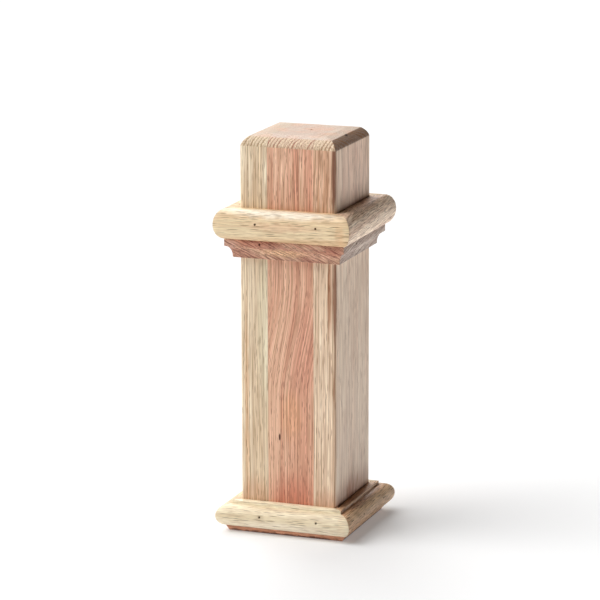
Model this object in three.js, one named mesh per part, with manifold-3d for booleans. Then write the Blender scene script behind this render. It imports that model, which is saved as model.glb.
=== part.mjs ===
// A short square newel post: three hardwood staves glued into one block, with its
// top edges rounded over, and mitred mouldings nailed round it. A bullnose collar
// over a cove sits under the top block, and a bullnose over a thin strip is the base.
//
// Millimetres, +Z up. The origin is at the middle of the underside, the face seen
// first looks along -Y, and +X is on the right of someone who looks at that face.

import * as THREE from 'three';
import Module from 'manifold-3d';
import { mergeVertices } from 'three/addons/utils/BufferGeometryUtils.js';

const wasm = await Module();
wasm.setup();

// The post
const postWidth = 90;
const postHeight = 359;
const leftStaveWidth = 25.75;
const rightStaveWidth = 21.25;
const arrisRadius = 2;

// The rounding of the top edges, flatter than a quarter round
const crownRun = 10.8;
const crownRise = 10.2;
const crownPower = 1.5;

// The small hole in the top's end grain
const topHoleDiameter = 2.4;
const topHoleDepth = 8;
const topHoleX = 4.5;
const topHoleY = 2.5;

// The collar's bullnose, with its ledge at a height above the floor
const collarLedgeHeight = 294.5;
const collarThickness = 27;
const collarFlat = 10;
const collarNose = 8.8;

// The cove under the collar, from the top down: fillet, hollow, foot
const coveFilletHeight = 6.6;
const coveHollowHeight = 9.7;
const coveHollowDepth = 5.8;
const coveFootHeight = 0.9;
const coveFootProjection = 5.2;

// The base, from the floor up: strip, bullnose, fillet
const stripHeight = 4.6;
const stripProjection = 8.8;
const stripSplay = 2.4;
const baseRoundThickness = 19.8;
const baseNose = 9.7;
const baseFilletHeight = 3;
const baseFilletProjection = 7;
const baseStep = 2;

// Mitres and brads
const mitreGap = 0.3;
const bradDiameter = 1.8;
const bradDepth = 2.5;
const collarBradPlaces = [-24, 32.4];
const coveBradPlaces = [-22.7];
const baseBradPlaces = [-21.4, 32.4];
const bradRise = 2.6;

// Facets of the curved stretches
const noseSegments = 20;
const hollowSegments = 8;
const crownSegments = 12;
const arrisSegments = 4;
const holeSegments = 12;

const half = postWidth / 2;
const staveJointLeft = -half + leftStaveWidth;
const staveJointRight = half - rightStaveWidth;
const coveHeight = coveFilletHeight + coveHollowHeight + coveFootHeight;
const collarUnderside = collarLedgeHeight - collarThickness;
const coveUnderside = collarUnderside - coveHeight;
const baseFlat = baseFilletProjection + baseStep;
const baseTop = stripHeight + baseRoundThickness + baseFilletHeight;
const clearOfBlock = 5;

const paleWood = new THREE.MeshStandardMaterial({ color: 0xd9c3a0, roughness: 0.7, metalness: 0 });
const pinkWood = new THREE.MeshStandardMaterial({ color: 0xcf9f86, roughness: 0.7, metalness: 0 });
const tanWood = new THREE.MeshStandardMaterial({ color: 0xceb391, roughness: 0.7, metalness: 0 });
const redWood = new THREE.MeshStandardMaterial({ color: 0xb98468, roughness: 0.7, metalness: 0 });

/** Turns a closed geometry into a solid that can be cut and joined. */
function toSolid(geometry) {
  const bare = geometry.clone();
  bare.deleteAttribute('normal');
  bare.deleteAttribute('uv');
  const merged = mergeVertices(bare, 1e-5);
  return new wasm.Manifold(new wasm.Mesh({
    numProp: 3,
    vertProperties: new Float32Array(merged.attributes.position.array),
    triVerts: new Uint32Array(merged.index.array),
  }));
}

/** Turns a solid back into a geometry with flat facets. */
function toGeometry(solid) {
  const mesh = solid.getMesh();
  const geometry = new THREE.BufferGeometry();
  geometry.setAttribute('position', new THREE.BufferAttribute(mesh.vertProperties, 3));
  geometry.setIndex(new THREE.BufferAttribute(mesh.triVerts, 1));
  return geometry;
}

/** A round cutter along +Z, from z = 0 up to its length. */
function drill(diameter, length) {
  const cylinder = new THREE.CylinderGeometry(diameter / 2, diameter / 2, length, holeSegments);
  cylinder.rotateX(Math.PI / 2);
  cylinder.translate(0, 0, length / 2);
  return cylinder;
}

/** One quarter of the crown's section: inset from the face and drop from the top, at t from 0 to 1. */
function crownPoint(t) {
  const angle = t * Math.PI / 2;
  return {
    inset: crownRun * (1 - Math.cos(angle) ** (2 / crownPower)),
    drop: crownRise * (1 - Math.sin(angle) ** (2 / crownPower)),
  };
}

/** The block's upright section, with both top corners rounded over. */
function crownShape() {
  const points = [new THREE.Vector2(-half, 0), new THREE.Vector2(half, 0)];
  for (let i = 0; i <= crownSegments; i++) {
    const { inset, drop } = crownPoint(i / crownSegments);
    points.push(new THREE.Vector2(half - inset, postHeight - drop));
  }
  for (let i = crownSegments; i >= 0; i--) {
    const { inset, drop } = crownPoint(i / crownSegments);
    points.push(new THREE.Vector2(-half + inset, postHeight - drop));
  }
  return new THREE.Shape(points);
}

/** The block's plan: a square whose corners are eased. */
function planShape() {
  const shape = new THREE.Shape();
  const inner = half - arrisRadius;
  shape.moveTo(-inner, -half);
  shape.lineTo(inner, -half);
  shape.absarc(inner, -inner, arrisRadius, -Math.PI / 2, 0, false);
  shape.lineTo(half, inner);
  shape.absarc(inner, inner, arrisRadius, 0, Math.PI / 2, false);
  shape.lineTo(-inner, half);
  shape.absarc(-inner, inner, arrisRadius, Math.PI / 2, Math.PI, false);
  shape.lineTo(-half, -inner);
  shape.absarc(-inner, -inner, arrisRadius, Math.PI, Math.PI * 1.5, false);
  return shape;
}

/** The whole block: the plan drawn up to the top, met by the crown's section from two sides. */
function blockSolid() {
  const column = new THREE.ExtrudeGeometry(planShape(), {
    depth: postHeight + clearOfBlock, bevelEnabled: false, curveSegments: arrisSegments,
  });
  const sweep = new THREE.ExtrudeGeometry(crownShape(), {
    depth: postWidth + 2 * clearOfBlock, bevelEnabled: false,
  });
  sweep.translate(0, 0, -half - clearOfBlock);
  sweep.rotateX(Math.PI / 2);
  const across = toSolid(sweep);
  sweep.rotateZ(Math.PI / 2);
  const along = toSolid(sweep);
  return toSolid(column).intersect(across).intersect(along);
}

/** The stave that lies between two upright planes of the block. */
function staveSolid(block, fromX, toX) {
  const slab = new THREE.BoxGeometry(
    toX - fromX, postWidth + 2 * clearOfBlock, postHeight + 2 * clearOfBlock,
  );
  slab.translate((fromX + toX) / 2, 0, postHeight / 2);
  return block.intersect(toSolid(slab));
}

/** The point where an edge meets a height. */
function crossing(from, to, height) {
  const [low, high] = from.z < to.z ? [from, to] : [to, from];
  return low.clone().lerp(high, (height - low.z) / (high.z - low.z)).setZ(height);
}

/** The pieces of a triangle on one side of a height: 1 is above it and -1 below. */
function trianglesBeside(corners, height, side) {
  const kept = [];
  corners.forEach((from, i) => {
    const to = corners[(i + 1) % corners.length];
    const fromGap = side * (from.z - height);
    const toGap = side * (to.z - height);
    if (fromGap >= 0) kept.push(from);
    if (fromGap * toGap < 0) kept.push(crossing(from, to, height));
  });
  return kept.slice(2).map((corner, i) => [kept[0], kept[i + 1], corner]);
}

/** Divides facets at the mouldings' edges, so the plain stretch between them has faces of its own. */
function divideAtMouldings(geometry) {
  const loose = geometry.toNonIndexed().getAttribute('position');
  let triangles = [];
  for (let i = 0; i < loose.count; i += 3) {
    triangles.push([0, 1, 2].map((corner) => new THREE.Vector3().fromBufferAttribute(loose, i + corner)));
  }
  for (const height of [baseTop, coveUnderside]) {
    triangles = triangles.flatMap((corners) => [
      ...trianglesBeside(corners, height, 1),
      ...trianglesBeside(corners, height, -1),
    ]);
  }
  return new THREE.BufferGeometry().setFromPoints(triangles.flat());
}

/** Half an ellipse from the top of a nose down to its underside, as points outward and up. */
function noseArc(flat, nose, bottom, thickness) {
  const curve = new THREE.EllipseCurve(
    flat, bottom + thickness / 2, nose, thickness / 2, Math.PI / 2, -Math.PI / 2, true,
  );
  return curve.getPoints(noseSegments);
}

/** How far a nose stands out at a height above its middle. */
function noseReach(flat, nose, thickness, rise) {
  return flat + nose * Math.sqrt(1 - (2 * rise / thickness) ** 2);
}

/** The collar's section: outward from the post's face, and height above the floor. */
function collarProfile() {
  return [
    new THREE.Vector2(0, collarUnderside),
    new THREE.Vector2(0, collarLedgeHeight),
    ...noseArc(collarFlat, collarNose, collarUnderside, collarThickness),
  ];
}

/** The cove's section, with an elliptic hollow between its fillet and its foot. */
function coveProfile() {
  const footTop = coveUnderside + coveFootHeight;
  const projection = coveFootProjection + coveHollowDepth;
  const hollow = new THREE.EllipseCurve(
    projection, footTop, coveHollowDepth, coveHollowHeight, Math.PI / 2, Math.PI, false,
  );
  return [
    new THREE.Vector2(0, coveUnderside),
    new THREE.Vector2(0, collarUnderside),
    new THREE.Vector2(projection, collarUnderside),
    ...hollow.getPoints(hollowSegments),
    new THREE.Vector2(coveFootProjection, coveUnderside),
  ];
}

/** The base bullnose's section, with the fillet that stands on it. */
function baseProfile() {
  const roundTop = stripHeight + baseRoundThickness;
  return [
    new THREE.Vector2(0, stripHeight),
    new THREE.Vector2(0, roundTop + baseFilletHeight),
    new THREE.Vector2(baseFilletProjection, roundTop + baseFilletHeight),
    new THREE.Vector2(baseFilletProjection, roundTop),
    ...noseArc(baseFlat, baseNose, stripHeight, baseRoundThickness),
  ];
}

/** The strip's section, splayed outward as it rises. */
function stripProfile() {
  return [
    new THREE.Vector2(0, 0),
    new THREE.Vector2(0, stripHeight),
    new THREE.Vector2(stripProjection + stripSplay, stripHeight),
    new THREE.Vector2(stripProjection, 0),
  ];
}

/** A length of moulding on the front face, its ends cut at 45 degrees on the post's diagonals. */
function mitredLength(profile) {
  const geometry = new THREE.ExtrudeGeometry(new THREE.Shape(profile), { depth: 1, bevelEnabled: false });
  const position = geometry.attributes.position;
  for (let i = 0; i < position.count; i++) {
    const outward = half + position.getX(i);
    const end = position.getZ(i) > 0.5 ? -1 : 1;
    position.setXYZ(i, end * (outward - mitreGap * Math.SQRT1_2), -outward, position.getY(i));
  }
  return geometry;
}

/** Cuts brad holes into a length on the front face, at places along it. */
function nail(geometry, places, height, reach) {
  let solid = toSolid(geometry);
  const cutter = drill(bradDiameter, bradDepth + clearOfBlock);
  cutter.rotateX(Math.PI / 2);
  for (const place of places) {
    const hole = cutter.clone();
    hole.translate(place, -(half + reach - bradDepth), height);
    solid = solid.subtract(toSolid(hole));
  }
  return toGeometry(solid);
}

function named(name, geometry, material) {
  const mesh = new THREE.Mesh(geometry, material);
  mesh.name = name;
  return mesh;
}

/** The three staves of the block, side by side from left to right. */
function makePost() {
  const block = blockSolid();
  const hole = drill(topHoleDiameter, topHoleDepth + clearOfBlock);
  hole.translate(topHoleX, topHoleY, postHeight - topHoleDepth);
  const middle = staveSolid(block, staveJointLeft, staveJointRight).subtract(toSolid(hole));
  const staves = [
    ['stave_left', staveSolid(block, -half, staveJointLeft), tanWood],
    ['stave_middle', middle, pinkWood],
    ['stave_right', staveSolid(block, staveJointRight, half), tanWood],
  ];
  const group = new THREE.Group();
  for (const [name, solid, material] of staves) {
    group.add(named(name, divideAtMouldings(toGeometry(solid)), material));
  }
  return group;
}

/** Four copies of a length of moulding, one on each face of the post. */
function makeSurround(name, geometry, material) {
  const group = new THREE.Group();
  ['front', 'right', 'back', 'left'].forEach((side, turn) => {
    const mesh = named(`${name}_${side}`, geometry, material);
    mesh.rotation.z = turn * Math.PI / 2;
    group.add(mesh);
  });
  return group;
}

function makeCollar() {
  const height = collarUnderside + collarThickness / 2 + bradRise;
  const reach = noseReach(collarFlat, collarNose, collarThickness, bradRise);
  const length = nail(mitredLength(collarProfile()), collarBradPlaces, height, reach);
  return makeSurround('collar', length, paleWood);
}

function makeCove() {
  const height = collarUnderside - coveFilletHeight / 2;
  const reach = coveFootProjection + coveHollowDepth;
  return makeSurround('cove', nail(mitredLength(coveProfile()), coveBradPlaces, height, reach), redWood);
}

function makeBaseRound() {
  const height = stripHeight + baseRoundThickness / 2 + bradRise;
  const reach = noseReach(baseFlat, baseNose, baseRoundThickness, bradRise);
  const length = nail(mitredLength(baseProfile()), baseBradPlaces, height, reach);
  return makeSurround('base', length, paleWood);
}

function makeStrip() {
  return makeSurround('strip', mitredLength(stripProfile()), redWood);
}

const newelPost = new THREE.Group();
newelPost.name = 'newel_post';
newelPost.add(makePost(), makeCollar(), makeCove(), makeBaseRound(), makeStrip());

export default newelPost;
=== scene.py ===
"""A short square newel post in bare hardwood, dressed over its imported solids.

Three glued staves with a rounded crown stand up through four mitred surrounds: a
bullnose collar, a cove below it, a base bullnose with a fillet, and a thin strip on
the floor. Sizes in the classes are millimetres unless a name says metres; meshes are
in metres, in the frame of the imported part, +Z up, with the front face looking along -Y.
"""

import logging
import math
from dataclasses import dataclass
from dataclasses import field
from dataclasses import replace
from enum import Enum
from typing import Any

import bmesh
import bpy
from mathutils import Matrix
from mathutils import Vector


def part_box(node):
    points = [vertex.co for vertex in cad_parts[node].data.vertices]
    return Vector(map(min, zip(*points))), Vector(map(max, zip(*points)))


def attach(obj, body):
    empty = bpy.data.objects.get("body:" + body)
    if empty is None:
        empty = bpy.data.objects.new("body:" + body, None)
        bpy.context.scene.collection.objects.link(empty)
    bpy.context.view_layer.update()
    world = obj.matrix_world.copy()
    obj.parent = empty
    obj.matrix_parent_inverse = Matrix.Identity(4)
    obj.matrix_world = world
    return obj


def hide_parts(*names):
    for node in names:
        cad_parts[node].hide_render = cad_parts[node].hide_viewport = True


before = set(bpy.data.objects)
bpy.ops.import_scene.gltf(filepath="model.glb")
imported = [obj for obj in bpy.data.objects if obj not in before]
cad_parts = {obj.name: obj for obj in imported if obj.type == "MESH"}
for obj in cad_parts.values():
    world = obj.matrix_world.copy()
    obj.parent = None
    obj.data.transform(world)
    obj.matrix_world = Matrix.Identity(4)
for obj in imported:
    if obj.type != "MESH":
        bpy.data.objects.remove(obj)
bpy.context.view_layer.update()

METRE = 1000.0
MM = 1.0 / METRE
AXES = Vector((1.0, 1.0, 1.0))
WHITE = (1.0, 1.0, 1.0, 1.0)

# The kinds of node that come up most, and the setting that makes a step a smooth one
MATH = "ShaderNodeMath"
VECTOR = "ShaderNodeVectorMath"
STEP = "ShaderNodeMapRange"
MIX = "ShaderNodeMix"
SPLIT = "ShaderNodeSeparateXYZ"
JOIN = "ShaderNodeCombineXYZ"
SMOOTH = {"interpolation_type": "SMOOTHSTEP"}

# Places on the staves in millimetres: the Y of the front face, the X and Y of the hole in the
# top, the X and Z of the bark fleck, and the nick in the crown with the middle of the painted shadow in
# it
FACE = -45.0
TOP_HOLE = (4.5, 2.5)
FLECK = (-8.3, 88.1)
NICK = (39.7, -3.4, 357.1)
NICK_SHADOW = (39.6, -3.4, 356.9)

Socket = bpy.types.NodeSocket
Triple = tuple[float, float, float]

log = logging.getLogger("newel_post")


class Side(Enum):
    """The four faces of the post, each with its number of quarter turns from the front."""

    FRONT = 0
    RIGHT = 1
    BACK = 2
    LEFT = 3

    @property
    def label(self) -> str:
        """The face's name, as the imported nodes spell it."""
        return self.name.lower()

    @property
    def turn(self) -> float:
        """The angle in radians that carries the front face round to this one."""
        return self.value * math.pi / 2


class Cut(Enum):
    """The way a piece's fibres run, as the turn about Y that stands them upright."""

    UPRIGHT = 0.0
    LENGTHWISE = -math.pi / 2


def linear_colour(code: str) -> tuple[float, float, float, float]:
    """Turns an sRGB hex colour into the linear values that the nodes take.

    Args:
        code: The colour as "#rrggbb".

    Returns:
        Linear red, green and blue, with an alpha of one.
    """
    channels = [int(code[i:i + 2], 16) / 255 for i in (1, 3, 5)]
    red, green, blue = (c / 12.92 if c <= 0.04045 else ((c + 0.055) / 1.055) ** 2.4 for c in channels)
    return (red, green, blue, 1.0)


def direction(azimuth: float, elevation: float) -> Vector:
    """The direction in which something stands, seen from the post.

    Args:
        azimuth: Degrees round from the front face, positive to the right.
        elevation: Degrees above the floor.

    Returns:
        A vector of length one.
    """
    turn = math.radians(azimuth)
    rise = math.radians(elevation)
    return Vector((math.sin(turn) * math.cos(rise), -math.cos(turn) * math.cos(rise), math.sin(rise)))


def cell_scale(size: Triple) -> Triple:
    """Turns the size in millimetres that one cell of a pattern has into the pattern's scale."""
    return tuple(1.0 / side for side in size)


def add_node(
    tree: bpy.types.NodeTree,
    kind: str,
    inputs: dict[Any, Any] | list[Any] | None = None,
    **settings: Any,
) -> bpy.types.Node:
    """Adds a node to a tree, with its settings, values and links.

    Args:
        tree: The shader or geometry tree that takes the node.
        kind: The node's type.
        inputs: The socket to link to each input or its plain value, in order or by name or number.
        **settings: The node's own properties.

    Returns:
        The new node.
    """
    node = tree.nodes.new(kind)
    for name, value in settings.items():
        setattr(node, name, value)
    given = inputs if isinstance(inputs, dict) else dict(enumerate(inputs or ()))
    for key, value in given.items():
        if isinstance(value, bpy.types.NodeSocket):
            tree.links.new(value, node.inputs[key])
        else:
            node.inputs[key].default_value = value
    return node


@dataclass(frozen=True)
class Zone:
    """A patch with a colour of its own, for a tone of the wood or for painted light or shade, whose
    soft rim wavers by its own millimetres.

    On a piece of another side, the centre is the one it has once turned to the front.
    """

    centre: Triple
    reach: Triple
    colour: str
    strength: float
    rim: float = 2.6


@dataclass(frozen=True)
class Lean:
    """A stretch of the fibres that leans sideways between two heights."""

    low: float
    high: float
    shift: float


@dataclass(frozen=True)
class WoodFinish:
    """Bare sanded open-pored hardwood, one board's colours and grain, in millimetres.

    Such wood's pores are about 0.3 mm wide and 2 to 5 mm long, and its rings 2 to 6 mm apart.
    The rings have their real size. The pores and the dark sheets, which are rows of pores, are
    drawn about 1 mm wide and longer, as coarse as they need to be to show. Zones lie under the
    lines and pores, and marks lie over them.
    """

    name: str
    pale: str
    warm: str
    streak: str
    line: str
    pore: str
    cut_end: str
    ring_gap: float = 3.4
    ring_strength: float = 0.35
    ring_waver: float = 0.35
    pith: tuple[float, float] = (-160.0, 40.0)
    tilt: tuple[float, float] = (0.0, 0.0)
    lean: Lean | None = None
    streak_width: float = 5.0
    streak_share: float = 0.45
    sheet_width: float = 0.95
    sheet_share: float = 0.42
    sheet_strength: float = 0.5
    sheet_length: float = 60.0
    pore_width: float = 1.0
    pore_length: float = 13.0
    pore_share: float = 0.55
    pore_strength: float = 0.7
    fibre_contrast: float = 0.26
    fibre_length: float = 70.0
    offset: Triple = (0.0, 0.0, 0.0)
    zones: tuple[Zone, ...] = ()
    marks: tuple[Zone, ...] = ()
    # The colour of the crown's rounding, and the painted shade on the part of it that faces right, away
    # from the light
    crown: str = "#dbc5a6"
    crown_side: str = "#967b6b"
    top_warm: str = "#c9a185"
    cheek: str = "#e8cfae"
    cheek_calm: float = 0.7


# Sanded hardwood of the left stave: dry pale tan with fine brown lines, and redder at its foot
TAN_BOARD = WoodFinish(
    name="hardwood_tan_board",
    pale="#f3e0c3",
    warm="#ecd1af",
    streak="#e4c29b",
    line="#a37d52",
    pore="#86603a",
    cut_end="#bba792",
    cheek="#cbae86",
    ring_gap=2.6,
    pith=(-420.0, -30.0),
    streak_width=4.0,
    zones=(
        Zone((-33.0, FACE, 145.0), (24.0, 40.0, 190.0), "#ebd3b2", 0.5),
        Zone((-39.5, FACE, 120.0), (3.2, 30.0, 130.0), "#e8b484", 0.55),
        Zone((-22.0, FACE, 190.0), (9.0, 30.0, 110.0), "#ece5c5", 0.5),
        Zone((-32.0, FACE, 24.0), (22.0, 30.0, 34.0), "#c58058", 0.5),
    ),
)

# Sanded hardwood nearer the heart, the middle stave: matt salmon pink, its lines leaning as they rise
PINK_BOARD = WoodFinish(
    name="hardwood_pink_board",
    pale="#eec2a2",
    warm="#e2a587",
    streak="#ca866d",
    line="#9c5439",
    pore="#7c3c28",
    cut_end="#bba794",
    ring_gap=3.8,
    ring_strength=0.35,
    pith=(-380.0, 60.0),
    lean=Lean(120.0, 235.0, -15.0),
    streak_width=6.0,
    streak_share=0.36,
    sheet_strength=0.42,
    pore_width=0.9,
    pore_length=10.0,
    pore_share=0.7,
    fibre_contrast=0.28,
    zones=(
        Zone((2.0, FACE, 140.0), (40.0, 40.0, 190.0), "#e0ad8e", 0.45),
        Zone((4.0, FACE, 16.0), (34.0, 30.0, 52.0), "#c75e41", 0.6),
        Zone((14.0, FACE, 170.0), (18.0, 30.0, 60.0), "#d8957d", 0.4),
        Zone((2.0, FACE, 108.0), (14.0, 30.0, 30.0), "#f1b486", 0.5),
    ),
    marks=(
        Zone((FLECK[0], FACE, FLECK[1]), (1.35, 4.0, 4.3), "#5a2c1a", 0.95, 0.0),
        # Painted shadow in and round the hole in the top
        Zone((*TOP_HOLE, 357.0), (1.7, 1.7, 14.0), "#2e1810", 1.0, 0.0),
    ),
)

# Sanded hardwood of the right stave: warm cream, dark brown along the near corner, calm on its side,
# with painted warm shade and bounce light from the base at the foot of its side
SAND_BOARD = WoodFinish(
    name="hardwood_sand_board",
    pale="#f3dcc0",
    warm="#eac8a9",
    streak="#deb193",
    line="#a0704a",
    pore="#865230",
    cut_end="#bba794",
    ring_gap=3.0,
    ring_strength=0.25,
    pith=(-260.0, -160.0),
    streak_width=3.4,
    sheet_strength=0.5,
    fibre_contrast=0.3,
    cheek="#dec6ae",
    offset=(37.0, 11.0, 60.0),
    zones=(
        Zone((34.0, FACE, 145.0), (24.0, 40.0, 190.0), "#ebcfb0", 0.4),
        Zone((32.0, FACE, 330.0), (18.0, 20.0, 60.0), "#cf8c64", 0.6),
        Zone((43.0, FACE, 332.0), (3.2, 2.8, 60.0), "#6c2e04", 0.95, 0.5),
        Zone((43.8, FACE, 222.0), (3.5, 3.0, 62.0), "#80400e", 0.95, 0.6),
        Zone((38.5, FACE, 222.0), (2.5, 3.0, 52.0), "#a05820", 0.8, 0.8),
        Zone((47.0, 6.0, 325.0), (9.0, 62.0, 60.0), "#ecc2a8", 0.7),
        # Painted warm shade and bounce light from the base, on the foot of the right side
        Zone((46.0, 0.0, 24.0), (8.0, 70.0, 32.0), "#9a5c38", 0.7),
        Zone((43.4, FACE, 95.0), (2.6, 2.4, 110.0), "#945a2c", 0.5, 0.6),
        Zone((33.0, FACE, 115.0), (11.0, 30.0, 95.0), "#f8e2c6", 0.4),
        Zone((35.0, FACE, 24.0), (16.0, 30.0, 26.0), "#c07a55", 0.45),
    ),
    # Painted shadow in the nick in the crown
    marks=(Zone(NICK_SHADOW, (2.2, 4.2, 2.0), "#3a1e14", 1.0, 0.0),),
)

# Sanded sapwood of the collar: butter cream with short dark dashes, with a painted highlight that makes
# its ledge almost white
CREAM_COLLAR = WoodFinish(
    name="hardwood_cream_collar",
    pale="#f4deb6",
    warm="#e9c79c",
    streak="#dca887",
    line="#a98458",
    pore="#83603a",
    cut_end="#ead6b4",
    ring_gap=6.0,
    ring_strength=0.25,
    pith=(30.0, -110.0),
    tilt=(0.0, 3.0),
    streak_width=5.0,
    streak_share=0.25,
    sheet_width=0.8,
    sheet_share=0.36,
    sheet_strength=0.36,
    sheet_length=16.0,
    pore_width=0.95,
    pore_length=17.0,
    pore_share=0.75,
    pore_strength=1.0,
    fibre_contrast=0.15,
    fibre_length=14.0,
    zones=(
        # Painted highlight on the ledge and the top of the nose, which face up to the light
        Zone((0.0, -56.0, 293.0), (75.0, 9.0, 9.0), "#fff7e4", 0.9),
        Zone((2.0, -62.0, 282.0), (52.0, 6.0, 6.0), "#e1a17f", 0.35),
        Zone((55.0, -58.0, 279.0), (9.0, 12.0, 12.0), "#e2a772", 0.45),
    ),
)

# The collar's right length: the same sapwood with a rosy cast and bolder lines
ROSY_COLLAR = replace(
    CREAM_COLLAR,
    name="hardwood_rosy_collar",
    pale="#edd4b9",
    warm="#dfb99b",
    streak="#cb9778",
    line="#9a7058",
    pore="#7c5440",
    sheet_strength=0.5,
    pore_share=0.95,
    fibre_contrast=0.38,
    offset=(0.0, 7.0, 140.0),
    zones=(),
)

# The collar's lengths that the photo doesn't show: the same sapwood, plain tan and a little darker
TAN_COLLAR = replace(
    CREAM_COLLAR,
    name="hardwood_tan_collar",
    pale="#dcc59f",
    warm="#cfb088",
    streak="#bf9672",
    line="#94704a",
    zones=(),
)

# Sanded sapwood of the base: the palest cream of all, calm, with thin short dashes, and painted light
# on its fillet, on the lower half of its nose and near its right mitre
CREAM_BASE = WoodFinish(
    name="hardwood_cream_base",
    pale="#f3e4c5",
    warm="#ecd9b5",
    streak="#e2c7a4",
    line="#b0926c",
    pore="#866a48",
    cut_end="#ead6b4",
    ring_gap=7.0,
    ring_strength=0.15,
    pith=(80.0, -60.0),
    tilt=(0.0, 1.5),
    streak_width=5.0,
    streak_share=0.15,
    sheet_width=0.8,
    sheet_share=0.3,
    sheet_strength=0.22,
    sheet_length=16.0,
    pore_width=0.9,
    pore_length=15.0,
    pore_share=0.65,
    pore_strength=1.0,
    fibre_contrast=0.16,
    fibre_length=13.0,
    offset=(5.0, 3.0, 91.0),
    zones=(
        # Painted highlight on the front of the fillet
        Zone((0.0, -50.0, 28.5), (90.0, 8.0, 5.5), "#fff3d4", 0.95),
        # Painted bounce light from the floor on the lower half of the nose
        Zone((0.0, -62.0, 8.0), (80.0, 12.0, 8.0), "#fff0d8", 0.7),
        # Painted warm bounce light near the right mitre
        Zone((56.0, -56.0, 15.0), (8.0, 10.0, 12.0), "#ecbb87", 0.45),
    ),
)

# The base's right length: nut brown with dark dashes, and tan towards the floor
BROWN_BASE = replace(
    CREAM_BASE,
    name="hardwood_brown_base",
    pale="#ecc69e",
    warm="#dcab82",
    streak="#c48e6a",
    line="#85583e",
    pore="#5c3626",
    sheet_strength=0.3,
    fibre_contrast=0.28,
    offset=(0.0, 9.0, 33.0),
    zones=(Zone((0.0, -60.0, 9.0), (80.0, 12.0, 7.0), "#d6a272", 0.5),),
)

# The base's lengths that the photo doesn't show: the same sapwood, plain tan and a little darker
TAN_BASE = replace(
    CREAM_BASE,
    name="hardwood_tan_base",
    pale="#dcc8a4",
    warm="#d0b48e",
    streak="#c2a27e",
    line="#94744e",
    zones=(),
)

# Sanded heartwood of the cove: matt brick red, with a figure that runs aslant and many small pores
RED_COVE = WoodFinish(
    name="hardwood_red_cove",
    pale="#deb394",
    warm="#cc9279",
    streak="#b47764",
    line="#7d412f",
    pore="#5a3026",
    cut_end="#c79a7c",
    ring_gap=2.6,
    ring_strength=0.7,
    pith=(10.0, -30.0),
    tilt=(6.0, -25.0),
    streak_width=4.0,
    streak_share=0.5,
    sheet_share=0.4,
    sheet_width=0.85,
    sheet_strength=0.75,
    sheet_length=26.0,
    pore_width=1.0,
    pore_length=4.0,
    pore_share=0.75,
    pore_strength=0.85,
    fibre_contrast=0.32,
    fibre_length=12.0,
    offset=(0.0, 0.0, 21.0),
    zones=(
        Zone((-30.0, -58.0, 266.5), (34.0, 12.0, 8.5), "#c98267", 0.75),
        Zone((-2.0, -56.0, 256.5), (34.0, 12.0, 5.5), "#ffd4a3", 0.7),
        Zone((46.0, -56.0, 262.0), (16.0, 12.0, 9.0), "#b26d56", 0.75),
        Zone((-52.0, -56.0, 262.0), (12.0, 9.0, 9.0), "#e8bca8", 0.55),
    ),
)

# The cove's right length: the same figure in silvery grey brown
GREY_COVE = replace(
    RED_COVE,
    name="hardwood_grey_cove",
    pale="#c9b5a3",
    warm="#ba9e8c",
    streak="#a08476",
    line="#7b6055",
    pore="#5c443c",
    tilt=(6.0, 12.0),
    pore_width=0.95,
    pore_share=0.95,
    zones=(),
)

# Sanded heartwood of the strip: copper red, with a painted contact shadow, almost black, where it meets
# the floor
RED_STRIP = WoodFinish(
    name="hardwood_red_strip",
    pale="#f6b390",
    warm="#dd9875",
    streak="#c17e60",
    line="#855640",
    pore="#613426",
    cut_end="#b98a6c",
    ring_gap=4.0,
    ring_strength=0.35,
    pith=(30.0, -90.0),
    tilt=(0.0, 4.0),
    streak_width=3.5,
    sheet_length=12.0,
    fibre_length=10.0,
    offset=(0.0, 13.0, 33.0),
    # Painted contact shadow along the foot of the strip
    zones=(Zone((0.0, -54.0, 0.0), (90.0, 9.0, 2.6), "#522b1a", 0.9),),
)


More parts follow.
